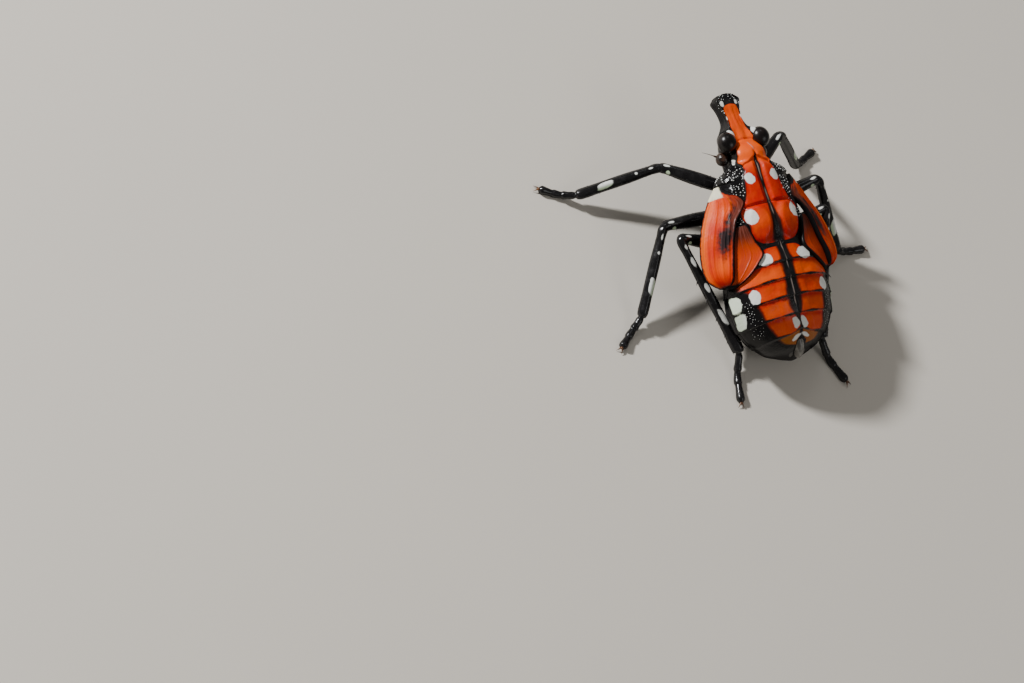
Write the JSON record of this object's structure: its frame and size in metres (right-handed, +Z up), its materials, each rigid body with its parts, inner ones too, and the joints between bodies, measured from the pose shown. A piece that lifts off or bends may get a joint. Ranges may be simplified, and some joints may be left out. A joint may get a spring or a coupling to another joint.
{
  "type": "spotted lanternfly nymph",
  "caption": "Still life-size model of a red spotted lanternfly nymph standing on its feet, with snout, wing pads, banded abdomen and spotted black legs.",
  "frame": {"origin": "on the floor under the middle of the insect's bounding box", "axes": "+Z up out of the insect's back, -Y towards its head, +X to its left"},
  "size_m": [0.0176, 0.0145, 0.0055],
  "materials": {
    "orange_cuticle": "satin orange cuticle, lightly translucent",
    "red_cuticle": "satin red-orange cuticle with black bands and white spots",
    "wing_pad": "satin red to orange wing pad with a black blotch and rim",
    "black_cuticle": "glossy black cuticle with white spots and bands",
    "eye_black": "glossy black-brown eye",
    "antenna_brown": "glossy dark brown feeler base"
  },
  "bodies": {
    "root": {"head": "orange_cuticle", "pronotum": "orange_cuticle", "mesonotum": "red_cuticle", "metanotum": "red_cuticle", "abdomen": "red_cuticle", "abdomen_tip": "red_cuticle", "rostrum": "black_cuticle", "eye_left": "eye_black", "antenna_left": "antenna_brown", "forewing_pad_left": "wing_pad", "hindwing_pad_left": "wing_pad", "leg_left_front_coxa": "black_cuticle", "leg_left_front_femur": "black_cuticle", "leg_left_front_tibia": "black_cuticle", "leg_left_front_tarsus": "black_cuticle", "leg_left_mid_coxa": "black_cuticle", "leg_left_mid_femur": "black_cuticle", "leg_left_mid_tibia": "black_cuticle", "leg_left_mid_tarsus": "black_cuticle", "leg_left_hind_coxa": "black_cuticle", "leg_left_hind_femur": "black_cuticle", "leg_left_hind_tibia": "black_cuticle", "leg_left_hind_tarsus": "black_cuticle", "eye_right": "eye_black", "antenna_right": "antenna_brown", "forewing_pad_right": "wing_pad", "hindwing_pad_right": "wing_pad", "leg_right_front_coxa": "black_cuticle", "leg_right_front_femur": "black_cuticle", "leg_right_front_tibia": "black_cuticle", "leg_right_front_tarsus": "black_cuticle", "leg_right_mid_coxa": "black_cuticle", "leg_right_mid_femur": "black_cuticle", "leg_right_mid_tibia": "black_cuticle", "leg_right_mid_tarsus": "black_cuticle", "leg_right_hind_coxa": "black_cuticle", "leg_right_hind_femur": "black_cuticle", "leg_right_hind_tibia": "black_cuticle", "leg_right_hind_tarsus": "black_cuticle"}
  },
  "joints": []
}
